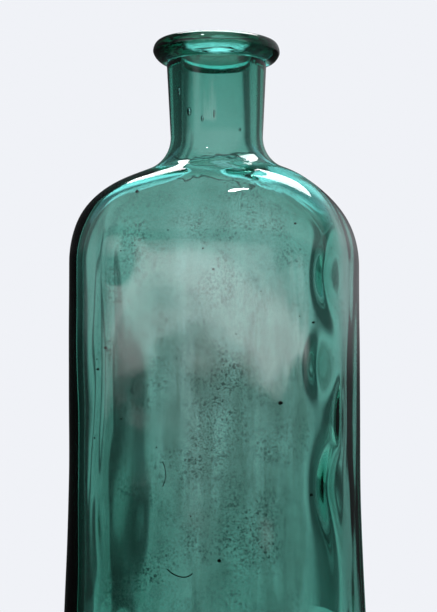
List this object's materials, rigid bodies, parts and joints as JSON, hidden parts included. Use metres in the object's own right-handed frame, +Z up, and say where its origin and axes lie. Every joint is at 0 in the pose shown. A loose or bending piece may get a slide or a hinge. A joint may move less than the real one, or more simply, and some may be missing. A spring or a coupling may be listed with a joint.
{
  "type": "liquor bottle",
  "caption": "Flat-sided hand-blown glass liquor bottle with swept shoulders, a short flared neck and a thick applied lip round an open mouth.",
  "frame": {"origin": "under the middle of the base, on the surface that the bottle stands on", "axes": "+Z up along the neck, X across the broad front and back faces, -Y out of the front face"},
  "size_m": [0.0924, 0.0664, 0.228],
  "materials": {
    "body_glass": "blue-green blown glass, glossy, wavy inside, with seeds and a little dirt",
    "lip_glass": "the same blue-green glass, tooled, glossy and thicker"
  },
  "bodies": {
    "root": {"blown_body": "body_glass", "applied_lip": "lip_glass"}
  },
  "joints": []
}
